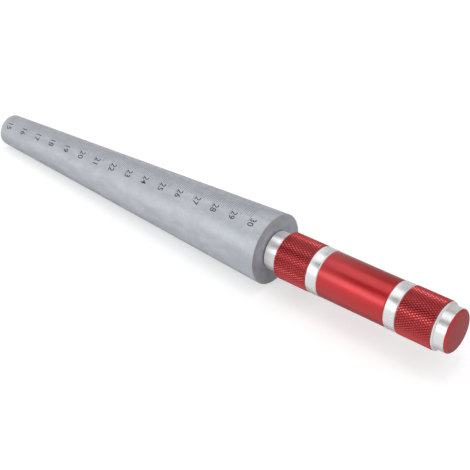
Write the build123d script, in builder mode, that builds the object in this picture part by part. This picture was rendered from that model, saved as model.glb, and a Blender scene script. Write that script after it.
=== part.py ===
from build123d import *
import os
from math import atan, cos, pi, radians, sin, tan

# Taper gauge for holes and tube ends: a plain steel cone on a turned and knurled aluminium handle.
# It lies on a level surface on the cone's underside. Its nose points to -X and its handle to +X.
# Sizes are in millimetres. A station is a distance along the gauge axis, counted from the mark where
# the cone measures small_mark across.

# Measuring cone
small_mark = 15.0  # diameter at the first graduation
large_mark = 30.0  # diameter at the last graduation
taper_ratio = 10.0  # along the cone for each unit that its diameter grows
nose_margin = 3.4  # plain cone in front of the first graduation
back_margin = 9.3  # plain cone behind the last graduation
nose_round = 1.0
back_round = 0.4

# Seat of the handle in the cone
spigot_diameter = 12.0
spigot_length = 24.0
spigot_chamfer = 0.8
bond_line = 0.05  # adhesive film all round the spigot
socket_relief = 1.5  # room left in front of the spigot
mouth_chamfer = 0.6  # countersink that frees the corner behind the shoulder
drill_point = 118.0

# Handle, from the cone to the free end
collar_diameter = 16.7
collar_length = 6.5
collar_chamfer = 0.5
knurl_diameter = 20.4  # over the points
knurl_length = 15.6
band_diameter = 20.0
band_length = 5.3
band_chamfer = 0.4
grip_diameter = 19.75
grip_length = 31.3
ledge_length = 0.9
end_collar_diameter = 18.1
end_collar_length = 4.4
end_collar_fillet = 0.25
cap_length = 0.9
cap_bevel = 0.75
cap_round = 0.5

# Diamond knurl
knurl_pitch = 1.0  # square across the grooves
knurl_angle = 30.0  # of the grooves to the gauge axis
knurl_depth = 0.42
knurl_lead_in = 0.35  # sloping ends of the knurl

# Stations along the axis
nose_at = -nose_margin
back_at = (large_mark - small_mark) * taper_ratio + back_margin
front_knurl_at = back_at + collar_length
front_band_at = front_knurl_at + knurl_length
grip_at = front_band_at + band_length
rear_band_at = grip_at + grip_length
rear_knurl_at = rear_band_at + band_length
ledge_at = rear_knurl_at + knurl_length
end_collar_at = ledge_at + ledge_length
cap_at = end_collar_at + end_collar_length
end_at = cap_at + cap_length


def cone_radius(station):
    return (small_mark + station / taper_ratio) / 2


# The gauge axis leans by the cone's half angle, so that the cone's underside lies level at z = 0.
# It is set along X so that the nose and the free end stand equally far from the origin.
lean = atan(1 / (2 * taper_ratio))
axis_height = small_mark / 2 * cos(lean)
nose_reach = (
    (nose_at + nose_round) * cos(lean)
    - (cone_radius(nose_at) - nose_round) * sin(lean)
    - nose_round
)
end_reach = end_at * cos(lean) + (end_collar_diameter / 2 - cap_bevel) * sin(lean)
axis_start = Vector(-(nose_reach + end_reach) / 2, 0, axis_height)
axis_direction = Vector(cos(lean), 0, sin(lean))

# Turned profiles are drawn on this plane: x is the station and y the radius.
section = Plane(origin=axis_start, x_dir=axis_direction, z_dir=(0, -1, 0))
turning_axis = Axis(axis_start, axis_direction)
# Rings are laid out on this plane, square to the gauge axis.
ring = Plane(origin=axis_start, x_dir=section.y_dir, z_dir=axis_direction)


def knurled_ring(start, length):
    """Solid ring of sharp four-sided points, left between two crossing sets of V grooves."""
    columns = 2 * round(pi * knurl_diameter * cos(radians(knurl_angle)) / knurl_pitch)
    half_diamond = knurl_pitch / sin(radians(knurl_angle)) / 2
    rows = max(1, round((length - 2 * knurl_lead_in) / half_diamond))
    row_step = (length - 2 * knurl_lead_in) / rows
    point_radius = knurl_diameter / 2
    root_radius = point_radius - knurl_depth

    def corner(station, radius, column):
        turn = 2 * pi * column / columns
        return ring.from_local_coords(Vector(radius * cos(turn), radius * sin(turn), station))

    # Each end is a plain root circle. Between them, points and groove crossings alternate both ways.
    grid = [[corner(start, root_radius, column) for column in range(columns)]]
    for row in range(1, rows + 2):
        station = start + knurl_lead_in + (row - 1) * row_step
        radii = [point_radius if (row + column) % 2 else root_radius for column in range(columns)]
        grid.append([corner(station, radii[column], column) for column in range(columns)])
    grid.append([corner(start + length, root_radius, column) for column in range(columns)])

    facets = [Face(Wire.make_polygon(grid[0])), Face(Wire.make_polygon(grid[-1]))]
    for row in range(rows + 2):
        for column in range(columns):
            beside = (column + 1) % columns
            here, next_to = grid[row][column], grid[row][beside]
            above, across = grid[row + 1][column], grid[row + 1][beside]
            # The fold runs along the groove, from one crossing to the next.
            if (row + column) % 2 == 0:
                corners = (here, next_to, across), (here, across, above)
            else:
                corners = (here, next_to, above), (next_to, across, above)
            facets += [Face(Wire.make_polygon(triangle)) for triangle in corners]
    return Solid(Shell(facets))


# Measuring cone: one steel bar, ground to the taper and bored from behind for the handle
socket_radius = spigot_diameter / 2 + bond_line
socket_floor_at = back_at - spigot_length - socket_relief
drill_tip_at = socket_floor_at - socket_radius / tan(radians(drill_point / 2))

with BuildPart() as gauge_cone:
    with BuildSketch(section) as cone_profile:
        with BuildLine():
            Polyline(
                (drill_tip_at, 0),
                (nose_at, 0),
                (nose_at, cone_radius(nose_at)),
                (back_at, cone_radius(back_at)),
                (back_at, socket_radius + mouth_chamfer),
                (back_at - mouth_chamfer, socket_radius),
                (socket_floor_at, socket_radius),
                close=True,
            )
        make_face()
        nose_edge = cone_profile.vertices().sort_by_distance((nose_at, cone_radius(nose_at)))[0]
        fillet(nose_edge, nose_round)
        back_edge = cone_profile.vertices().sort_by_distance((back_at, cone_radius(back_at)))[0]
        fillet(back_edge, back_round)
    revolve(axis=turning_axis)
gauge_cone.part.label = "gauge_cone"

# Handle: one aluminium bar, turned, knurled twice, coloured and then faced bright at its bands
spigot_radius = spigot_diameter / 2
collar_radius = collar_diameter / 2
band_radius = band_diameter / 2
grip_radius = grip_diameter / 2
end_radius = end_collar_diameter / 2
# Red and bright stretches meet in a fine V groove.
groove_radius = band_radius - band_chamfer
grip_chamfer = grip_radius - groove_radius

front_knurl = knurled_ring(front_knurl_at, knurl_length)
rear_knurl = knurled_ring(rear_knurl_at, knurl_length)

with BuildPart() as handle:
    with BuildSketch(section) as handle_profile:
        with BuildLine():
            Polyline(
                (back_at - spigot_length, 0),
                (back_at - spigot_length, spigot_radius - spigot_chamfer),
                (back_at - spigot_length + spigot_chamfer, spigot_radius),
                (back_at, spigot_radius),
                (back_at, collar_radius - collar_chamfer),
                (back_at + collar_chamfer, collar_radius),
                (front_band_at, collar_radius),
                (front_band_at, groove_radius),
                (front_band_at + band_chamfer, band_radius),
                (grip_at - band_chamfer, band_radius),
                (grip_at, groove_radius),
                (grip_at + grip_chamfer, grip_radius),
                (rear_band_at - grip_chamfer, grip_radius),
                (rear_band_at, groove_radius),
                (rear_band_at + band_chamfer, band_radius),
                (rear_knurl_at - band_chamfer, band_radius),
                (rear_knurl_at, groove_radius),
                (rear_knurl_at, collar_radius),
                (ledge_at, collar_radius),
                (ledge_at, groove_radius),
                (ledge_at + band_chamfer, band_radius),
                (end_collar_at - band_chamfer, band_radius),
                (end_collar_at, groove_radius),
                (end_collar_at, end_radius),
                (end_at - cap_bevel, end_radius),
                (end_at, end_radius - cap_bevel),
                (end_at, 0),
                close=True,
            )
        make_face()
        collar_corner = handle_profile.vertices().sort_by_distance((end_collar_at, end_radius))[0]
        fillet(collar_corner, end_collar_fillet)
        cap_corners = [
            handle_profile.vertices().sort_by_distance(corner)[0]
            for corner in ((end_at - cap_bevel, end_radius), (end_at, end_radius - cap_bevel))
        ]
        fillet(cap_corners, cap_round)
    revolve(axis=turning_axis)
    # Each knurl is solid to its middle and takes in the plain core that runs through it.
    add([front_knurl, rear_knurl])
handle.part.label = "handle"

os.makedirs("parts", exist_ok=True)
export_step(gauge_cone.part, "parts/gauge_cone.step")
export_step(handle.part, "parts/handle.step")
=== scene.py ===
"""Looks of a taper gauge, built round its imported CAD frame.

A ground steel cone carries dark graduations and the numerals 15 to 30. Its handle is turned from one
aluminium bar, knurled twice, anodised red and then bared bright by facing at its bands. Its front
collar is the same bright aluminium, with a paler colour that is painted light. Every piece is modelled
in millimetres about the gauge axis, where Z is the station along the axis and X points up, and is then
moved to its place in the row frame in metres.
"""

import logging
from dataclasses import dataclass, field
from enum import Enum
from math import atan, atan2, cos, hypot, pi, radians, sin, tan

import bmesh
import bpy
from bmesh.types import BMEdge, BMesh, BMVert
from bpy.types import ID, Material, Node, NodeSocket, NodeTree, Object
from mathutils import Matrix, Vector


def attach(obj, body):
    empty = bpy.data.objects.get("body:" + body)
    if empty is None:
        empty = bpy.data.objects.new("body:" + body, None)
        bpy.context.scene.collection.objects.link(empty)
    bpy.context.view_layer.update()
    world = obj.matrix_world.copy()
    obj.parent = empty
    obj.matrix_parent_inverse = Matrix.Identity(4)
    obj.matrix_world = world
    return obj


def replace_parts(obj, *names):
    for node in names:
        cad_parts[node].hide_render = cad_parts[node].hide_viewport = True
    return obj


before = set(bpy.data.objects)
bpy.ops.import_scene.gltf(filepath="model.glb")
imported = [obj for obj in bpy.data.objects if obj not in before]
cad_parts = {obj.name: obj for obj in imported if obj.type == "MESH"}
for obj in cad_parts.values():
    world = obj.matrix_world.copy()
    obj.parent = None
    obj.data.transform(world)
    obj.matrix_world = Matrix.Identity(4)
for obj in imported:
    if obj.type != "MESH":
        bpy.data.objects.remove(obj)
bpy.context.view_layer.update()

MM = 0.001
log = logging.getLogger("taper_gauge")

Pair = tuple[float, float]
Triple = tuple[float, float, float]
WHITE = (1.0, 1.0, 1.0, 1.0)


def added(name: str, data: ID) -> Object:
    """Puts a new object in the scene.

    Args:
        name: The object's name.
        data: Its mesh, lamp, camera or text.

    Returns:
        The object.
    """
    made = bpy.data.objects.new(name, data)
    bpy.context.scene.collection.objects.link(made)
    return made


@dataclass(frozen=True)
class GaugeSizes:
    """Sizes of the gauge in millimetres, with the names that the part's source gives them."""

    small_mark: float = 15.0
    large_mark: float = 30.0
    taper_ratio: float = 10.0
    nose_margin: float = 3.4
    back_margin: float = 9.3
    nose_round: float = 1.0
    back_round: float = 0.4
    spigot_diameter: float = 12.0
    spigot_length: float = 24.0
    spigot_chamfer: float = 0.8
    bond_line: float = 0.05
    socket_relief: float = 1.5
    mouth_chamfer: float = 0.6
    drill_point: float = 118.0
    collar_diameter: float = 16.7
    collar_length: float = 6.5
    collar_chamfer: float = 0.5
    knurl_diameter: float = 20.4
    knurl_length: float = 15.6
    band_diameter: float = 20.0
    band_length: float = 5.3
    band_chamfer: float = 0.4
    grip_diameter: float = 19.75
    grip_length: float = 31.3
    ledge_length: float = 0.9
    end_collar_diameter: float = 18.1
    end_collar_length: float = 4.4
    end_collar_fillet: float = 0.25
    cap_length: float = 0.9
    cap_bevel: float = 0.75
    cap_round: float = 0.5
    knurl_pitch: float = 1.0
    knurl_angle: float = 30.0
    knurl_depth: float = 0.42
    knurl_lead_in: float = 0.35

    @property
    def nose_at(self) -> float:
        """Station of the cone's nose."""
        return -self.nose_margin

    @property
    def back_at(self) -> float:
        """Station of the cone's back face."""
        return (self.large_mark - self.small_mark) * self.taper_ratio + self.back_margin

    @property
    def front_knurl_at(self) -> float:
        """Station where the front knurl starts."""
        return self.back_at + self.collar_length

    @property
    def front_band_at(self) -> float:
        """Station where the front band starts."""
        return self.front_knurl_at + self.knurl_length

    @property
    def grip_at(self) -> float:
        """Station where the smooth grip starts."""
        return self.front_band_at + self.band_length

    @property
    def rear_band_at(self) -> float:
        """Station where the rear band starts."""
        return self.grip_at + self.grip_length

    @property
    def rear_knurl_at(self) -> float:
        """Station where the rear knurl starts."""
        return self.rear_band_at + self.band_length

    @property
    def ledge_at(self) -> float:
        """Station of the narrow ledge behind the rear knurl."""
        return self.rear_knurl_at + self.knurl_length

    @property
    def end_collar_at(self) -> float:
        """Station where the end collar starts."""
        return self.ledge_at + self.ledge_length

    @property
    def cap_at(self) -> float:
        """Station where the red end starts."""
        return self.end_collar_at + self.end_collar_length

    @property
    def end_at(self) -> float:
        """Station of the handle's free end."""
        return self.cap_at + self.cap_length

    def cone_radius(self, station: float) -> float:
        """Radius of the measuring cone.

        Args:
            station: Distance along the axis from the first graduation.

        Returns:
            The radius in millimetres.
        """
        return (self.small_mark + station / self.taper_ratio) / 2


@dataclass(frozen=True)
class GaugeAxis:
    """Where the gauge axis lies in the row frame."""

    sizes: GaugeSizes

    @property
    def lean(self) -> float:
        """Angle by which the axis rises, which is the cone's half angle."""
        return atan(1 / (2 * self.sizes.taper_ratio))

    @property
    def start(self) -> Vector:
        """Finds where the first graduation's centre lies.

        Returns:
            Its point in the row frame, in metres.
        """
        s = self.sizes
        c, n = cos(self.lean), sin(self.lean)
        nose_centre = s.nose_at + s.nose_round
        nose_reach = nose_centre * c - (s.cone_radius(s.nose_at) - s.nose_round) * n - s.nose_round
        end_reach = s.end_at * c + (s.end_collar_diameter / 2 - s.cap_bevel) * n
        return Vector((-(nose_reach + end_reach) / 2, 0, s.small_mark / 2 * c)) * MM

    def turned(self) -> Matrix:
        """Rotation from the modelling frame, with Z along the axis and X up, to the row frame."""
        c, n = cos(self.lean), sin(self.lean)
        return Matrix(((-n, 0, c), (0, -1, 0), (c, 0, n))).to_4x4()

    def placed(self) -> Matrix:
        """Matrix from the modelling frame in millimetres to the row frame in metres."""
        return Matrix.Translation(self.start) @ self.turned() @ Matrix.Scale(MM, 4)


class Slot(Enum):
    """The record's material slots."""

    STEEL = "ground_steel"
    ALUMINIUM = "anodised_aluminium"


class Line(Enum):
    """Kinds of graduation, each with its two ends in millimetres of arc from the numerals' middle."""

    WHOLE = (-11.3, 0.3)
    HALF = (-11.3, -1.2)
    PLAIN = (-8.8, -2.2)


class BarFinish(Enum):
    """Finishes of the handle's bar, by their place among its materials."""

    RED = 0
    BRIGHT = 1
    # The front collar's bright aluminium, made paler as painted light.
    FACED = 2


class NodeSheet:
    """Adds and joins nodes in one node tree, laid out from left to right."""

    SPACING = (190, 160)
    ROWS = 3

    def __init__(self, tree: NodeTree) -> None:
        """Starts on an empty tree.

        Args:
            tree: The node tree that takes the nodes.
        """
        self.tree = tree
        self.tree.nodes.clear()
        self.column = 0

    def add(self, kind: str, label: str = "", **settings: object) -> Node:
        """Adds one node.

        Args:
            kind: The node's type.
            label: What the node is for.
            **settings: Its properties.

        Returns:
            The new node.
        """
        node = self.tree.nodes.new(kind)
        across, down = self.SPACING
        node.location = (self.column * across, -(self.column % self.ROWS) * down)
        node.label = label
        self.column += 1
        for name, value in settings.items():
            setattr(node, name, value)
        return node

    def place(self, group: NodeTree, label: str) -> Node:
        """Adds a node that holds a shared group.

        Args:
            group: The group.
            label: What the node is for.

        Returns:
            The new node.
        """
        node = self.add("ShaderNodeGroup", label)
        node.node_tree = group
        return node

    def join(self, source: object, target: NodeSocket) -> None:
        """Feeds an input socket.

        Args:
            source: An output socket to link from, or a plain value to set.
            target: The input socket.
        """
        if isinstance(source, NodeSocket):
            self.tree.links.new(source, target)
        else:
            target.default_value = source

    def math(self, operation: str, *values: object, label: str = "", clamp: bool = False) -> NodeSocket:
        """Adds a Math node.

        Args:
            operation: The operation's name.
            *values: Sockets or numbers for its inputs.
            label: What the value stands for.
            clamp: Whether the result is held between 0 and 1.

        Returns:
            Its output socket.
        """
        node = self.add("ShaderNodeMath", label, operation=operation, use_clamp=clamp)
        for socket, value in zip(node.inputs, values):
            self.join(value, socket)
        return node.outputs[0]

    def ramp(
        self, value: object, low: float, high: float, start: float = 0.0, end: float = 1.0,
    ) -> NodeSocket:
        """Maps a value smoothly from one range to another, held at its ends.

        Args:
            value: The socket to map.
            low: Input that gives start.
            high: Input that gives end.
            start: Result at and before low.
            end: Result at and after high.

        Returns:
            The mapped value's socket.
        """
        node = self.add("ShaderNodeMapRange", interpolation_type="SMOOTHSTEP")
        for name, number in (("From Min", low), ("From Max", high), ("To Min", start), ("To Max", end)):
            node.inputs[name].default_value = number
        self.join(value, node.inputs["Value"])
        return node.outputs["Result"]

    def blend(self, factor: object, first: object, second: object) -> NodeSocket:
        """Mixes two colours.

        Args:
            factor: Share of the second colour.
            first: First colour or socket.
            second: Second colour or socket.

        Returns:
            The mixed colour's socket.
        """
        node = self.add("ShaderNodeMix", data_type="RGBA")
        self.join(factor, node.inputs["Factor"])
        self.join(first, node.inputs["A"])
        self.join(second, node.inputs["B"])
        return node.outputs["Result"]


class SurfaceGroups:
    """The node groups that the finishes share, each built once.

    Ranges are the parts of a pattern, or of the knurl's height, over which its mask fades in.
    """

    INNER_RADIUS = 0.2
    PATCH_RANGE = (0.32, 0.68)
    SPECKS_PER_MM = 2.2
    SPECK_RANGE = (0.40, 0.62)
    CREST_RANGE = (0.84, 1.0)
    ROOT_RANGE = (0.02, 0.38)

    def __init__(self, axis: GaugeAxis) -> None:
        """Builds the groups.

        Args:
            axis: Where the gauge axis lies.
        """
        self.axis = axis
        self.coordinates = self._coordinates()
        self.grain = self._grain()
        self.smudges = self._smudges()
        self.crests = self._crests()

    @staticmethod
    def _group(name: str, inputs: dict[str, float], outputs: list[str]) -> tuple[NodeSheet, Node, Node]:
        """Makes an empty group with its sockets.

        Args:
            name: The group's name.
            inputs: Input names with their usual values.
            outputs: Output names.

        Returns:
            The group's sheet, its input node and its output node.
        """
        tree = bpy.data.node_groups.new(name, "ShaderNodeTree")
        for label, value in inputs.items():
            socket = tree.interface.new_socket(label, in_out="INPUT", socket_type="NodeSocketFloat")
            socket.default_value = value
        for label in outputs:
            tree.interface.new_socket(label, in_out="OUTPUT", socket_type="NodeSocketFloat")
        sheet = NodeSheet(tree)
        return sheet, sheet.add("NodeGroupInput"), sheet.add("NodeGroupOutput")

    def _coordinates(self) -> NodeTree:
        """Gives station, radius and the two cross directions about the gauge axis, in millimetres.

        Returns:
            The group.
        """
        sheet, _, out = self._group("gauge_coordinates", {}, ["Station", "Radius", "Up", "Side"])
        place = sheet.add("ShaderNodeMapping", "about the gauge axis", vector_type="TEXTURE")
        place.inputs["Location"].default_value = self.axis.start
        place.inputs["Rotation"].default_value = self.axis.turned().to_euler()
        place.inputs["Scale"].default_value = (MM, MM, MM)
        sheet.join(sheet.add("ShaderNodeTexCoord").outputs["Object"], place.inputs["Vector"])
        parts = sheet.add("ShaderNodeSeparateXYZ")
        sheet.join(place.outputs["Vector"], parts.inputs[0])
        up, side, station = parts.outputs
        squares = sheet.math("ADD", sheet.math("POWER", up, 2.0), sheet.math("POWER", side, 2.0))
        radius = sheet.math("SQRT", squares)
        for name, value in (("Station", station), ("Radius", radius), ("Up", up), ("Side", side)):
            sheet.join(value, out.inputs[name])
        return sheet.tree

    def _grain(self) -> NodeTree:
        """Draws fine lines round the axis, as a lathe tool or a grinding wheel leaves them.

        Returns:
            The group.
        """
        inputs = {"Lines per mm": 6.0, "Waviness": 1.5, "Contrast": 1.0}
        sheet, given, out = self._group("lathe_grain", inputs, ["Height", "Tone"])
        about = sheet.place(self.coordinates, "coordinates")
        around = []
        for name in ("Up", "Side"):
            radius = sheet.math("MAXIMUM", about.outputs["Radius"], self.INNER_RADIUS)
            share = sheet.math("DIVIDE", about.outputs[name], radius)
            around.append(sheet.math("MULTIPLY", share, given.outputs["Waviness"]))
        run = sheet.add("ShaderNodeCombineXYZ", "stretched round the axis")
        sheet.join(around[0], run.inputs["X"])
        sheet.join(around[1], run.inputs["Y"])
        fineness = given.outputs["Lines per mm"]
        sheet.join(sheet.math("MULTIPLY", about.outputs["Station"], fineness), run.inputs["Z"])
        lines = sheet.add("ShaderNodeTexNoise", "tool lines", noise_dimensions="4D")
        sheet.join(run.outputs[0], lines.inputs["Vector"])
        sheet.join(sheet.math("MULTIPLY", about.outputs["Radius"], fineness), lines.inputs["W"])
        lines.inputs["Scale"].default_value = 1.0
        lines.inputs["Detail"].default_value = 3.0
        lines.inputs["Roughness"].default_value = 0.65
        centred = sheet.math("SUBTRACT", lines.outputs[0], 0.5)
        scaled = sheet.math("MULTIPLY", centred, given.outputs["Contrast"])
        sheet.join(scaled, out.inputs["Height"])
        sheet.join(sheet.math("ADD", scaled, 0.5, clamp=True), out.inputs["Tone"])
        return sheet.tree

    def _smudges(self) -> NodeTree:
        """Draws the soft patches that handling leaves, longer along the gauge than across it.

        Returns:
            The group.
        """
        inputs = {"Patches per mm": 0.12, "Stretch": 2.5}
        sheet, given, out = self._group("handling_smudges", inputs, ["Mask", "Speck"])
        about = sheet.place(self.coordinates, "coordinates")
        place = sheet.add("ShaderNodeCombineXYZ", "stretched along the axis")
        sheet.join(about.outputs["Up"], place.inputs["X"])
        sheet.join(about.outputs["Side"], place.inputs["Y"])
        along = sheet.math("DIVIDE", about.outputs["Station"], given.outputs["Stretch"])
        sheet.join(along, place.inputs["Z"])
        patches = sheet.add("ShaderNodeTexNoise", "patches")
        sheet.join(place.outputs[0], patches.inputs["Vector"])
        sheet.join(given.outputs["Patches per mm"], patches.inputs["Scale"])
        patches.inputs["Detail"].default_value = 4.0
        patches.inputs["Roughness"].default_value = 0.6
        sheet.join(sheet.ramp(patches.outputs[0], *self.PATCH_RANGE), out.inputs["Mask"])
        specks = sheet.add("ShaderNodeTexNoise", "specks")
        sheet.join(place.outputs[0], specks.inputs["Vector"])
        specks.inputs["Scale"].default_value = self.SPECKS_PER_MM
        specks.inputs["Detail"].default_value = 5.0
        sheet.join(sheet.ramp(specks.outputs[0], *self.SPECK_RANGE), out.inputs["Speck"])
        return sheet.tree

    def _crests(self) -> NodeTree:
        """Masks the worn points of the knurl, and its roots for painted shade, by the radius.

        Returns:
            The group.
        """
        crest = self.axis.sizes.knurl_diameter / 2
        inputs = {"Root radius": crest - self.axis.sizes.knurl_depth, "Crest radius": crest}
        sheet, given, out = self._group("knurl_crests", inputs, ["Crest", "Root"])
        about = sheet.place(self.coordinates, "coordinates")
        span = sheet.math("SUBTRACT", given.outputs["Crest radius"], given.outputs["Root radius"])
        above = sheet.math("SUBTRACT", about.outputs["Radius"], given.outputs["Root radius"])
        height = sheet.math("DIVIDE", above, span, clamp=True)
        sheet.join(sheet.ramp(height, *self.CREST_RANGE), out.inputs["Crest"])
        sheet.join(sheet.ramp(height, *self.ROOT_RANGE, 1.0, 0.0), out.inputs["Root"])
        return sheet.tree


@dataclass(frozen=True)
class MetalFinish:
    """A worked metal surface: its colours, gloss and the marks of its making.

    The surface lies between shade and colour. line_tone and smudge_tone say how far the tool lines
    and the handling move it. Lengths are in millimetres.
    """

    name: str
    colour: Triple
    shade: Triple
    roughness: float
    roughness_spread: float
    metallic: float
    lines_per_mm: float
    line_height: float
    line_tone: float
    smudge_tone: float
    patches_per_mm: float = 0.12
    line_range: Pair = (0.2, 0.8)
    coat: float = 0.0
    coat_roughness: float = 0.25
    edge: Triple = (1.0, 1.0, 1.0)
    spread_along: float = 0.0
    quarter_turn: float = 0.25
    knurled: bool = False
    crest: Triple = (0.5, 0.1, 0.1)
    speck_range: Pair = (0.1, 0.9)
    crest_wear: Pair = (0.25, 0.8)
    root_tone: float = 0.55
    root_share: float = 0.7

    def material(self, groups: SurfaceGroups) -> Material:
        """Builds the material.

        Args:
            groups: The shared node groups.

        Returns:
            The new material.
        """
        made = bpy.data.materials.new(self.name)
        made.use_nodes = True
        sheet = NodeSheet(made.node_tree)
        grain = sheet.place(groups.grain, "tool lines")
        grain.inputs["Lines per mm"].default_value = self.lines_per_mm
        smudge = sheet.place(groups.smudges, "handling")
        smudge.inputs["Patches per mm"].default_value = self.patches_per_mm
        lined = sheet.ramp(grain.outputs["Tone"], *self.line_range, -self.line_tone, self.line_tone)
        patches = sheet.math("SUBTRACT", smudge.outputs["Mask"], 0.5)
        patched = sheet.math("MULTIPLY", patches, self.smudge_tone)
        tone = sheet.math("ADD", sheet.math("ADD", lined, patched), 0.5, label="tone", clamp=True)
        colour = sheet.blend(tone, (*self.shade, 1), (*self.colour, 1))
        if self.knurled:
            crests = sheet.place(groups.crests, "crests and roots")
            wear = sheet.ramp(smudge.outputs["Speck"], *self.speck_range, *self.crest_wear)
            worn = sheet.math("MULTIPLY", crests.outputs["Crest"], wear)
            colour = sheet.blend(worn, colour, (*self.crest, 1))
            # Painted shade: the knurl's roots are darkened by how deep they lie between the points.
            dark = tuple(self.root_tone * c for c in self.shade)
            shaded = sheet.math("MULTIPLY", crests.outputs["Root"], self.root_share)
            colour = sheet.blend(shaded, colour, (*dark, 1))
        spread = self.roughness_spread
        rough = sheet.ramp(smudge.outputs["Mask"], 0, 1, self.roughness - spread, self.roughness + spread)
        specks = sheet.math("SUBTRACT", smudge.outputs["Speck"], 0.5)
        rough = sheet.math("ADD", rough, sheet.math("MULTIPLY", specks, spread))
        bump = sheet.add("ShaderNodeBump", "tool lines")
        bump.inputs["Strength"].default_value = 1.0
        bump.inputs["Distance"].default_value = self.line_height * MM
        sheet.join(grain.outputs["Height"], bump.inputs["Height"])
        metal = sheet.add("ShaderNodeBsdfPrincipled")
        sheet.join(colour, metal.inputs["Base Color"])
        sheet.join(rough, metal.inputs["Roughness"])
        sheet.join(bump.outputs[0], metal.inputs["Normal"])
        metal.inputs["Metallic"].default_value = self.metallic
        metal.inputs["Specular Tint"].default_value = (*self.edge, 1)
        metal.inputs["Coat Weight"].default_value = self.coat
        metal.inputs["Coat Roughness"].default_value = self.coat_roughness
        if self.spread_along:
            around = sheet.add("ShaderNodeTangent", "round the gauge", direction_type="RADIAL", axis="X")
            sheet.join(around.outputs[0], metal.inputs["Tangent"])
            metal.inputs["Anisotropic"].default_value = self.spread_along
            metal.inputs["Anisotropic Rotation"].default_value = self.quarter_turn
        sheet.join(metal.outputs[0], sheet.add("ShaderNodeOutputMaterial").inputs["Surface"])
        return made


@dataclass(frozen=True)
class MarkFinish:
    """Dark laser marking on the steel, a little uneven."""

    name: str = "laser_mark"
    colour: Triple = (0.018, 0.019, 0.021)
    worn: Triple = (0.045, 0.047, 0.051)
    roughness: Pair = (0.5, 0.7)
    gloss: float = 0.2

    def material(self, groups: SurfaceGroups) -> Material:
        """Builds the material.

        Args:
            groups: The shared node groups.

        Returns:
            The new material.
        """
        made = bpy.data.materials.new(self.name)
        made.use_nodes = True
        sheet = NodeSheet(made.node_tree)
        smudge = sheet.place(groups.smudges, "handling")
        mark = sheet.add("ShaderNodeBsdfPrincipled")
        colour = sheet.blend(smudge.outputs["Speck"], (*self.colour, 1), (*self.worn, 1))
        sheet.join(colour, mark.inputs["Base Color"])
        sheet.join(sheet.ramp(smudge.outputs["Mask"], 0, 1, *self.roughness), mark.inputs["Roughness"])
        mark.inputs["Specular IOR Level"].default_value = self.gloss
        sheet.join(mark.outputs[0], sheet.add("ShaderNodeOutputMaterial").inputs["Surface"])
        return made


@dataclass
class Finishes:
    """Every finish on the gauge."""

    groups: SurfaceGroups
    steel: Material = field(init=False)
    red: Material = field(init=False)
    red_knurl: Material = field(init=False)
    bright: Material = field(init=False)
    faced: Material = field(init=False)
    mark: Material = field(init=False)

    def __post_init__(self) -> None:
        """Builds the materials."""
        self.steel = MetalFinish(
            "ground_steel_satin", colour=(0.50, 0.52, 0.56), shade=(0.375, 0.39, 0.425),
            roughness=0.55, roughness_spread=0.03, metallic=0.70,
            lines_per_mm=5.0, line_height=0.003, line_tone=0.25, smudge_tone=0.62, patches_per_mm=0.30,
        ).material(self.groups)
        self.red = MetalFinish(
            "red_anodise_smooth", colour=(0.47, 0.014, 0.018), shade=(0.41, 0.011, 0.014),
            roughness=0.42, roughness_spread=0.02, metallic=0.95,
            lines_per_mm=9.0, line_height=0.001, line_tone=0.10, smudge_tone=0.20,
            coat=0.8, coat_roughness=0.26, edge=(0.60, 0.25, 0.29),
        ).material(self.groups)
        self.red_knurl = MetalFinish(
            "red_anodise_knurl", colour=(0.46, 0.020, 0.025), shade=(0.37, 0.014, 0.018),
            roughness=0.20, roughness_spread=0.02, metallic=0.95,
            lines_per_mm=9.0, line_height=0.0003, line_tone=0.10, smudge_tone=0.20,
            coat=1.0, coat_roughness=0.15, edge=(0.70, 0.30, 0.33),
            knurled=True, crest=(0.85, 0.30, 0.30),
        ).material(self.groups)
        self.bright = MetalFinish(
            "bright_turned_aluminium", colour=(0.77, 0.77, 0.78), shade=(0.65, 0.65, 0.66),
            roughness=0.28, roughness_spread=0.015, metallic=0.65,
            lines_per_mm=7.0, line_height=0.001, line_tone=0.35, smudge_tone=0.20,
        ).material(self.groups)
        # Painted light: the bands' bright aluminium with a paler colour, standing in for light the collar
        # doesn't get; its spread along the gauge is its real turned finish.
        self.faced = MetalFinish(
            "painted_light_collar_aluminium", colour=(0.97, 0.96, 0.97), shade=(0.90, 0.89, 0.90),
            roughness=0.40, roughness_spread=0.015, metallic=0.85,
            lines_per_mm=7.0, line_height=0.001, line_tone=0.35, smudge_tone=0.20, spread_along=1.0,
        ).material(self.groups)
        self.mark = MarkFinish().material(self.groups)


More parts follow.
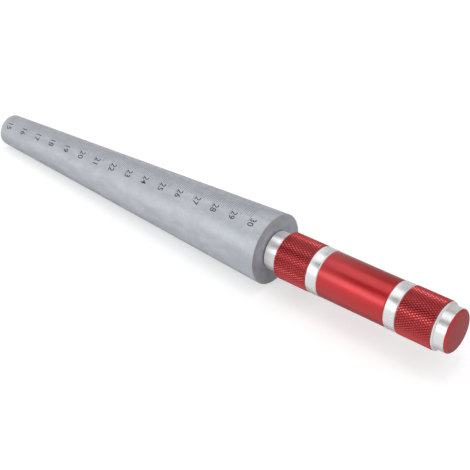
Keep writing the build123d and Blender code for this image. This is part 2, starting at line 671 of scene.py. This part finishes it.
@dataclass
class Workshop:
    """Shared ways of making a mesh and turning it into a piece.

    A round that reaches less than fine_reach along its edges gets fine_steps divisions.
    """

    axis: GaugeAxis
    fine_reach: float = 0.15
    fine_steps: int = 2
    round_steps: int = 5
    merge: float = 1e-4
    fine_merge: float = 1e-5
    sharp_angle: float = 28.0

    def turned(self, points: list[Triple], steps: int) -> BMesh:
        """Rounds the corners of a half section, turns it round the axis and closes its poles.

        Args:
            points: Corners as (station, radius, round), from one end on the axis to the other.
            steps: Number of divisions round the axis.

        Returns:
            A closed mesh.
        """
        bm = bmesh.new()
        corners = [bm.verts.new((radius, 0, station)) for station, radius, _ in points]
        for first, second in zip(corners, corners[1:]):
            bm.edges.new((first, second))
        groups: dict[float, list[BMVert]] = {}
        for index, corner in enumerate(corners[1:-1], start=1):
            size = points[index][2]
            if size:
                before = (corners[index - 1].co - corner.co).normalized()
                after = (corners[index + 1].co - corner.co).normalized()
                reach = size / tan(before.angle(after) / 2)
                groups.setdefault(round(reach, 4), []).append(corner)
        for reach, verts in groups.items():
            parts = self.fine_steps if reach < self.fine_reach else self.round_steps
            bmesh.ops.bevel(
                bm, geom=verts, offset=reach, offset_type="OFFSET", segments=parts,
                profile=0.5, affect="VERTICES", material=-1,
            )
        bmesh.ops.spin(
            bm, geom=bm.verts[:] + bm.edges[:], cent=(0, 0, 0), axis=(0, 0, 1), angle=2 * pi,
            steps=steps, use_merge=True, use_duplicate=False,
        )
        bmesh.ops.remove_doubles(bm, verts=bm.verts[:], dist=self.merge)
        bmesh.ops.recalc_face_normals(bm, faces=bm.faces[:])
        return bm

    def piece(
        self, name: str, bm: BMesh, materials: list[Material], slot: Slot, smooth: bool = True,
    ) -> Object:
        """Turns a mesh in the modelling frame into a piece that rides on the gauge.

        Args:
            name: The piece's name.
            bm: Its mesh, which is used up.
            materials: Its materials, by face material index.
            slot: The record's slot; not used.
            smooth: Whether faces are shaded smooth up to a sharp angle.

        Returns:
            The new object.
        """
        bmesh.ops.transform(bm, matrix=self.axis.placed(), verts=bm.verts[:])
        mesh = bpy.data.meshes.new(name)
        bm.to_mesh(mesh)
        open_edges = sum(1 for edge in bm.edges if len(edge.link_faces) != 2)
        bm.free()
        for material in materials:
            mesh.materials.append(material)
        if smooth:
            mesh.shade_smooth()
            mesh.set_sharp_from_angle(angle=radians(self.sharp_angle))
        else:
            mesh.shade_flat()
        made = added(name, mesh)
        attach(made, "root")
        mesh.calc_loop_triangles()
        log.info("%s: %d triangles, %d open edges", name, len(mesh.loop_triangles), open_edges)
        return made


@dataclass
class MeasuringCone:
    """The ground steel cone, bored from behind for the handle."""

    sizes: GaugeSizes
    workshop: Workshop
    finishes: Finishes
    steps: int = 240

    def build(self) -> Object:
        """Models the cone.

        Returns:
            The cone, which stands for its CAD node.
        """
        s = self.sizes
        socket = s.spigot_diameter / 2 + s.bond_line
        floor_at = s.back_at - s.spigot_length - s.socket_relief
        tip_at = floor_at - socket / tan(radians(s.drill_point / 2))
        points = [
            (s.nose_at, 0, 0),
            (s.nose_at, s.cone_radius(s.nose_at), s.nose_round),
            (s.back_at, s.cone_radius(s.back_at), s.back_round),
            (s.back_at, socket + s.mouth_chamfer, 0),
            (s.back_at - s.mouth_chamfer, socket, 0),
            (floor_at, socket, 0),
            (tip_at, 0, 0),
        ]
        bm = self.workshop.turned(points, self.steps)
        cone = self.workshop.piece("measuring_cone", bm, [self.finishes.steel], Slot.STEEL)
        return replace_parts(cone, "gauge_cone")


@dataclass
class ConeScale:
    """The graduations and numerals that are marked on the cone.

    They reach from sunk below the steel to proud above it. A line along the cone at datum_turn
    degrees from the top is where arcs start, and the numerals' middle lies numeral_arc beyond it.
    """

    sizes: GaugeSizes
    workshop: Workshop
    finishes: Finishes
    line_width: float = 0.12
    line_step: float = 0.8
    fewest_steps: int = 4
    proud: float = 0.010
    sunk: float = 0.020
    datum_turn: float = 7.96
    numeral_arc: float = 4.09
    numeral_height: float = 3.0
    numeral_middle: float = 2.05
    numeral_squeeze: float = 0.92
    numeral_weight: float = 0.004
    numeral_spacing: float = 1.05
    curve_steps: int = 6
    bend_cuts: int = 11
    bend_step: float = 0.4
    whole_every: int = 10
    half_every: int = 5

    def turn(self, station: float, arc: float) -> float:
        """Angle of a place on the cone.

        Args:
            station: Distance along the axis.
            arc: Millimetres round the cone from the numerals' middle.

        Returns:
            The angle from the top towards the front, in radians.
        """
        return radians(self.datum_turn) + (self.numeral_arc + arc) / self.sizes.cone_radius(station)

    def kind(self, step: int) -> Line:
        """Tells how long a graduation is.

        Args:
            step: Its number, counted from the first one.

        Returns:
            Its kind.
        """
        if step % self.whole_every == 0:
            return Line.WHOLE
        return Line.HALF if step % self.half_every == 0 else Line.PLAIN

    def line(self, bm: BMesh, step: int) -> None:
        """Adds one graduation.

        Args:
            bm: The mesh that takes it.
            step: Its number, which is its station in millimetres.
        """
        radius = self.sizes.cone_radius(step)
        start, end = (self.turn(step, arc) for arc in self.kind(step).value)
        half = self.line_width / 2
        corners = []
        lifts = (-self.sunk, -self.sunk, self.proud, self.proud)
        for side, lift in zip((-half, half, half, -half), lifts):
            out = self.sizes.cone_radius(step + side) + lift
            corners.append(bm.verts.new((out * cos(start), out * sin(start), step + side)))
        edges = [bm.edges.new((corners[i - 1], corners[i])) for i in range(4)]
        steps = max(self.fewest_steps, round((end - start) * radius / self.line_step))
        last = bmesh.ops.spin(
            bm, geom=corners + edges, cent=(0, 0, 0), axis=(0, 0, 1), angle=end - start,
            steps=steps, use_duplicate=False,
        )["geom_last"]
        bm.faces.new(corners)
        bmesh.ops.contextual_create(bm, geom=[g for g in last if isinstance(g, BMEdge)])

    def graduations(self) -> Object:
        """Models every line from the first mark to the last.

        Returns:
            The graduations as one piece.
        """
        bm = bmesh.new()
        span = (self.sizes.large_mark - self.sizes.small_mark) * self.sizes.taper_ratio
        for step in range(round(span) + 1):
            self.line(bm, step)
        bmesh.ops.recalc_face_normals(bm, faces=bm.faces[:])
        return self.workshop.piece("graduations", bm, [self.finishes.mark], Slot.STEEL)

    def numeral(self, value: int) -> BMesh:
        """Models one number flat, with its middle at the origin.

        Args:
            value: The number.

        Returns:
            A thin closed mesh that reads along X, with its top towards Y.
        """
        text = bpy.data.curves.new(f"numeral_{value}", "FONT")
        text.body = str(value)
        text.size = 1.0
        text.resolution_u = self.curve_steps
        text.extrude = 0.5
        text.offset = self.numeral_weight
        text.space_character = self.numeral_spacing
        holder = added(text.name, text)
        shown = holder.evaluated_get(bpy.context.evaluated_depsgraph_get())
        mesh = bpy.data.meshes.new_from_object(shown)
        bpy.data.objects.remove(holder)
        bm = bmesh.new()
        bm.from_mesh(mesh)
        bpy.data.meshes.remove(mesh)
        bpy.data.curves.remove(text)
        bmesh.ops.remove_doubles(bm, verts=bm.verts[:], dist=self.workshop.fine_merge)
        low = Vector(tuple(min(v.co[i] for v in bm.verts) for i in range(3)))
        high = Vector(tuple(max(v.co[i] for v in bm.verts) for i in range(3)))
        grow = self.numeral_height / (high.y - low.y)
        grown = (grow * self.numeral_squeeze, grow, self.proud + self.sunk)
        bmesh.ops.translate(bm, verts=bm.verts[:], vec=-(low + high) / 2)
        bmesh.ops.scale(bm, verts=bm.verts[:], vec=grown)
        bmesh.ops.translate(bm, verts=bm.verts[:], vec=(0, 0, (self.proud - self.sunk) / 2))
        for index in range(self.bend_cuts):
            across = (index - (self.bend_cuts - 1) / 2) * self.bend_step
            bmesh.ops.bisect_plane(
                bm, geom=bm.verts[:] + bm.edges[:] + bm.faces[:], plane_co=(across, 0, 0),
                plane_no=(1, 0, 0),
            )
        return bm

    def numerals(self) -> Object:
        """Wraps every number round the cone beside its line.

        Returns:
            The numerals as one piece.
        """
        bm = bmesh.new()
        for value in range(round(self.sizes.small_mark), round(self.sizes.large_mark) + 1):
            flat = self.numeral(value)
            middle = (value - self.sizes.small_mark) * self.sizes.taper_ratio + self.numeral_middle
            for vert in flat.verts:
                station = middle + vert.co.y
                turn = self.turn(station, vert.co.x)
                out = self.sizes.cone_radius(station) + vert.co.z
                vert.co = (out * cos(turn), out * sin(turn), station)
            mesh = bpy.data.meshes.new("wrapped")
            flat.to_mesh(mesh)
            flat.free()
            bm.from_mesh(mesh)
            bpy.data.meshes.remove(mesh)
        bmesh.ops.recalc_face_normals(bm, faces=bm.faces[:])
        return self.workshop.piece("numerals", bm, [self.finishes.mark], Slot.STEEL)


@dataclass
class TurnedHandle:
    """The aluminium handle: a turned bar with red and bright stretches, and its two knurls.

    Each of point_insets is a width and the share of the knurl's depth by which a point rises over it.
    """

    sizes: GaugeSizes
    workshop: Workshop
    finishes: Finishes
    steps: int = 224
    soften: float = 0.05
    foot_depth: float = 1.3
    point_insets: tuple[Pair, ...] = ((0.02, 0.0), (0.13, 0.46), (0.30, 0.49), (0.03, 0.05))

    def bar(self) -> Object:
        """Models the bar with its spigot, collars, bands, grip and end.

        Returns:
            The bar, which stands for the handle's CAD node.
        """
        s = self.sizes
        spigot, collar, band = s.spigot_diameter / 2, s.collar_diameter / 2, s.band_diameter / 2
        grip, end = s.grip_diameter / 2, s.end_collar_diameter / 2
        groove = band - s.band_chamfer
        grip_chamfer = grip - groove
        tail = s.back_at - s.spigot_length
        soft = self.soften
        points = [
            (tail, 0, 0),
            (tail, spigot - s.spigot_chamfer, soft),
            (tail + s.spigot_chamfer, spigot, soft),
            (s.back_at, spigot, 0),
            (s.back_at, collar - self.foot_depth, soft),
            (s.back_at + s.collar_chamfer, collar, soft),
            (s.front_knurl_at, collar, 0),
            (s.front_band_at, collar, 0),
            (s.front_band_at, groove, 0),
            (s.front_band_at + s.band_chamfer, band, soft),
            (s.grip_at - s.band_chamfer, band, soft),
            (s.grip_at, groove, 0),
            (s.grip_at + grip_chamfer, grip, soft),
            (s.rear_band_at - grip_chamfer, grip, soft),
            (s.rear_band_at, groove, 0),
            (s.rear_band_at + s.band_chamfer, band, soft),
            (s.rear_knurl_at - s.band_chamfer, band, soft),
            (s.rear_knurl_at, groove, 0),
            (s.rear_knurl_at, collar, 0),
            (s.ledge_at, collar, 0),
            (s.ledge_at, groove, 0),
            (s.ledge_at + s.band_chamfer, band, soft),
            (s.end_collar_at - s.band_chamfer, band, soft),
            (s.end_collar_at, groove, 0),
            (s.end_collar_at, end, s.end_collar_fillet),
            (s.cap_at, end, 0),
            (s.end_at - s.cap_bevel, end, s.cap_round),
            (s.end_at, end - s.cap_bevel, s.cap_round),
            (s.end_at, 0, 0),
        ]
        bm = self.workshop.turned(points, self.steps)
        for face in bm.faces:
            face.material_index = self.finish_at(face.calc_center_median().z).value
        finishes = [self.finishes.red, self.finishes.bright, self.finishes.faced]
        bar = self.workshop.piece("handle_bar", bm, finishes, Slot.ALUMINIUM)
        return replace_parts(bar, "handle")

    def finish_at(self, station: float) -> BarFinish:
        """Tells the bar's finish: red under the knurls, on the grip and at the end.

        Args:
            station: Distance along the axis.

        Returns:
            The finish there.
        """
        s = self.sizes
        bright = ((s.front_band_at, s.grip_at), (s.rear_band_at, s.rear_knurl_at), (s.ledge_at, s.cap_at))
        if station < s.front_knurl_at:
            # The collar and spigot take the paler aluminium that is painted light.
            return BarFinish.FACED
        if any(start <= station <= end for start, end in bright):
            return BarFinish.BRIGHT
        return BarFinish.RED

    def knurl(self, name: str, start: float) -> Object:
        """Models one knurl as a sleeve of four-sided points between crossing grooves.

        Args:
            name: The piece's name.
            start: Station where it starts.

        Returns:
            The sleeve, which also stands for the handle's CAD node.
        """
        s = self.sizes
        crest = s.knurl_diameter / 2
        root = crest - s.knurl_depth
        columns = 2 * round(pi * s.knurl_diameter * cos(radians(s.knurl_angle)) / s.knurl_pitch)
        between = s.knurl_length - 2 * s.knurl_lead_in
        rows = max(1, round(between * 2 * sin(radians(s.knurl_angle)) / s.knurl_pitch))
        step = between / rows
        bm = bmesh.new()
        loop = bmesh.ops.create_circle(bm, cap_ends=False, radius=root, segments=columns)["verts"]
        first = start + s.knurl_lead_in - step
        bmesh.ops.translate(bm, verts=loop, vec=(0, 0, first))
        edges = bm.edges[:]
        for _ in range(rows + 2):
            grown = bmesh.ops.extrude_edge_only(bm, edges=edges)["geom"]
            lifted = {g for g in grown if isinstance(g, BMVert)}
            bmesh.ops.translate(bm, verts=list(lifted), vec=(0, 0, step))
            edges = [g for g in grown if isinstance(g, BMEdge) and set(g.verts) <= lifted]
        points, crossings = [], []
        for vert in bm.verts:
            column = round(atan2(vert.co.y, vert.co.x) / (2 * pi / columns))
            row = round((vert.co.z - first) / step)
            (points if (row + column) % 2 else crossings).append(vert)
        bmesh.ops.connect_verts(bm, verts=crossings)
        bmesh.ops.dissolve_verts(bm, verts=points)
        bmesh.ops.recalc_face_normals(bm, faces=bm.faces[:])
        diamonds = bm.faces[:]
        for inset, rise in self.point_insets:
            bmesh.ops.inset_individual(
                bm, faces=diamonds, thickness=inset, depth=s.knurl_depth * rise, use_even_offset=True,
            )
        self.trim(bm, start, root, crest)
        self.close(bm, start)
        sleeve = self.workshop.piece(name, bm, [self.finishes.red_knurl], Slot.ALUMINIUM, smooth=False)
        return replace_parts(sleeve, "handle")

    def trim(self, bm: BMesh, start: float, root: float, crest: float) -> None:
        """Cuts a knurl to length and slopes its two ends down to the root.

        Args:
            bm: The knurl.
            start: Station where it starts.
            root: Radius at the groove crossings.
            crest: Radius over the points.
        """
        s = self.sizes
        end = start + s.knurl_length
        cuts = (
            (start, -1, True), (end, 1, True),
            (start + s.knurl_lead_in, 1, False), (end - s.knurl_lead_in, 1, False),
        )
        for station, side, clear in cuts:
            bmesh.ops.bisect_plane(
                bm, geom=bm.verts[:] + bm.edges[:] + bm.faces[:], dist=self.workshop.fine_merge,
                plane_co=(0, 0, station), plane_no=(0, 0, side), clear_outer=clear,
            )
        for vert in bm.verts:
            inside = min(vert.co.z - start, end - vert.co.z)
            allowed = root + (crest - root) * max(0.0, inside) / s.knurl_lead_in
            radius = hypot(vert.co.x, vert.co.y)
            if inside < s.knurl_lead_in and radius > allowed:
                vert.co.x *= allowed / radius
                vert.co.y *= allowed / radius
        bmesh.ops.remove_doubles(bm, verts=bm.verts[:], dist=self.workshop.merge)

    def close(self, bm: BMesh, start: float) -> None:
        """Turns a knurl into a closed sleeve with flat ends, which sits on the bar's core.

        Args:
            bm: The knurl, open at both ends.
            start: Station where it starts.
        """
        bore = self.sizes.collar_diameter / 2
        middle = start + self.sizes.knurl_length / 2
        open_edges = [edge for edge in bm.edges if edge.is_boundary]
        near = [edge for edge in open_edges if edge.verts[0].co.z < middle]
        far = [edge for edge in open_edges if edge.verts[0].co.z > middle]
        rims = []
        for edges in (near, far):
            grown = bmesh.ops.extrude_edge_only(bm, edges=edges)["geom"]
            inner = {g for g in grown if isinstance(g, BMVert)}
            for vert in inner:
                radius = hypot(vert.co.x, vert.co.y)
                vert.co.x *= bore / radius
                vert.co.y *= bore / radius
            rims += [g for g in grown if isinstance(g, BMEdge) and set(g.verts) <= inner]
        bmesh.ops.bridge_loops(bm, edges=rims)
        bmesh.ops.recalc_face_normals(bm, faces=bm.faces[:])


@dataclass
class Studio:
    """Floor, background, lamps, cards and camera.

    A lamp is its name, place, size and power. A card is its name, place, size, tip about X and tone.
    """

    camera_at: Triple = (0.263925, -0.297312, 0.310933)
    camera_pitch: float = 52.3107
    camera_heading: float = 39.7474
    lens: float = 88.9596
    sensor: float = 36.0
    clip: Pair = (0.01, 20.0)
    floor_size: float = 6.0
    floor_sides: int = 96
    floor_tone: float = 0.64
    floor_lift: float = 0.48
    fill: float = 0.70
    lamps: tuple[tuple[str, Triple, Pair, float], ...] = (
        ("top_soft_box", (-0.43, -0.05, 0.90), (1.1, 0.45), 1.06),
        ("front_soft_box", (-0.37, -0.95, 0.45), (1.0, 0.42), 2.9),
        ("key_soft_box", (0.10, 0.0, 0.95), (0.30, 0.22), 0.95),
    )
    cards: tuple[tuple[str, Triple, Pair, float, float], ...] = (
        ("dark_gap", (-0.20, -0.39, 0.617), (0.44, 0.36), 0.0, 0.02),
        ("grey_backdrop", (0.04, 0.9, 0.45), (1.12, 0.85), 90.0, 0.80),
        ("grey_ceiling", (0.04, 0.62, 0.90), (1.12, 0.50), 0.0, 0.60),
        # The last two cards lie just above the floor where the gauge's shadow falls and show only in
        # reflections: they are painted shade, a darker floor for the metal to mirror.
        ("painted_shade_behind_handle", (0.07, 0.165, 0.0006), (0.30, 0.33), 0.0, 0.72),
        ("painted_shade_under_gauge", (-0.005, -0.0045, 0.0004), (0.27, 0.021), 0.0, 0.87),
    )

    def camera(self) -> None:
        """Sets up the camera at the photograph's viewpoint."""
        data = bpy.data.cameras.new("viewpoint")
        data.lens = self.lens
        data.sensor_width = self.sensor
        data.clip_start, data.clip_end = self.clip
        made = added("viewpoint", data)
        made.location = self.camera_at
        made.rotation_euler = (radians(self.camera_pitch), 0, radians(self.camera_heading))
        bpy.context.scene.camera = made

    def background(self) -> None:
        """Lights the scene softly from all round and shows plain white behind the floor."""
        world = bpy.data.worlds.new("soft_studio")
        bpy.context.scene.world = world
        world.use_nodes = True
        sheet = NodeSheet(world.node_tree)
        ray = sheet.add("ShaderNodeLightPath")
        seen = sheet.math("MAXIMUM", ray.outputs["Is Camera Ray"], ray.outputs["Is Glossy Ray"])
        seen = sheet.math("MAXIMUM", seen, ray.outputs["Is Transmission Ray"])
        backdrop = sheet.add("ShaderNodeBackground", "fill light")
        colour = sheet.blend(seen, (self.fill, self.fill, self.fill, 1), WHITE)
        sheet.join(colour, backdrop.inputs["Color"])
        sheet.join(backdrop.outputs[0], sheet.add("ShaderNodeOutputWorld").inputs["Surface"])

    @staticmethod
    def matt(name: str, tone: float, lift: float = 0.0) -> Material:
        """Builds a matt grey paint.

        Args:
            name: The material's name.
            tone: How light it is.
            lift: Share of white added where the camera or a reflection sees it.

        Returns:
            The new material.
        """
        paint = bpy.data.materials.new(name)
        paint.use_nodes = True
        sheet = NodeSheet(paint.node_tree)
        ray = sheet.add("ShaderNodeLightPath")
        seen = sheet.math("MAXIMUM", ray.outputs["Is Camera Ray"], ray.outputs["Is Glossy Ray"])
        surface = sheet.add("ShaderNodeBsdfPrincipled")
        surface.inputs["Base Color"].default_value = (tone, tone, tone, 1)
        surface.inputs["Roughness"].default_value = 0.9
        surface.inputs["Specular IOR Level"].default_value = 0.0
        surface.inputs["Emission Color"].default_value = WHITE
        sheet.join(sheet.math("MULTIPLY", seen, lift), surface.inputs["Emission Strength"])
        sheet.join(surface.outputs[0], sheet.add("ShaderNodeOutputMaterial").inputs["Surface"])
        return paint

    def floor(self) -> None:
        """Lays the plain pale floor."""
        bm = bmesh.new()
        bmesh.ops.create_circle(bm, cap_ends=True, radius=self.floor_size / 2, segments=self.floor_sides)
        mesh = bpy.data.meshes.new("floor")
        bm.to_mesh(mesh)
        bm.free()
        mesh.materials.append(self.matt("pale_floor", self.floor_tone, self.floor_lift))
        added("floor", mesh)

    @staticmethod
    def lamp(name: str, place: Triple, size: Pair, power: float) -> None:
        """Hangs one soft box that faces the gauge.

        Args:
            name: The lamp's name.
            place: Its position in metres.
            size: Its length along X and its width.
            power: Its power in watts.
        """
        data = bpy.data.lights.new(name, "AREA")
        data.shape = "RECTANGLE"
        data.size, data.size_y = size
        data.energy = power
        made = added(name, data)
        made.location = place
        made.rotation_euler = Vector(place).to_track_quat("Z", "Y").to_euler()

    def card(self, name: str, place: Triple, size: Pair, turn: float, tone: float) -> None:
        """Hangs a matt card that only shows in reflections, for contrast in the metal.

        Args:
            name: The card's name.
            place: Its middle in metres.
            size: Its length and width before it is turned.
            turn: Angle in degrees by which its width is tipped up about X.
            tone: How light it is.
        """
        bm = bmesh.new()
        bmesh.ops.create_grid(bm, x_segments=1, y_segments=1, size=0.5)
        turned = Matrix.Rotation(radians(turn), 4, "X") @ Matrix.Diagonal((*size, 1, 1))
        bmesh.ops.transform(bm, matrix=Matrix.Translation(place) @ turned, verts=bm.verts[:])
        mesh = bpy.data.meshes.new(name)
        bm.to_mesh(mesh)
        bm.free()
        mesh.materials.append(self.matt(name, tone))
        made = added(name, mesh)
        made.visible_camera = made.visible_diffuse = made.visible_shadow = False

    def build(self) -> None:
        """Builds the whole studio."""
        self.background()
        self.floor()
        for lamp in self.lamps:
            self.lamp(*lamp)
        for card in self.cards:
            self.card(*card)
        self.camera()


def main() -> None:
    """Builds the gauge's pieces and the studio in order, and reports each."""
    logging.basicConfig(level=logging.INFO, format="%(name)s %(message)s")
    scene = bpy.context.scene
    scene.view_settings.view_transform = "Standard"
    sizes = GaugeSizes()
    axis = GaugeAxis(sizes)
    workshop = Workshop(axis)
    finishes = Finishes(SurfaceGroups(axis))
    MeasuringCone(sizes, workshop, finishes).build()
    scale = ConeScale(sizes, workshop, finishes)
    scale.graduations()
    scale.numerals()
    handle = TurnedHandle(sizes, workshop, finishes)
    handle.bar()
    handle.knurl("front_knurl", sizes.front_knurl_at)
    handle.knurl("rear_knurl", sizes.rear_knurl_at)
    Studio().build()


if __name__ == "__main__":
    main()
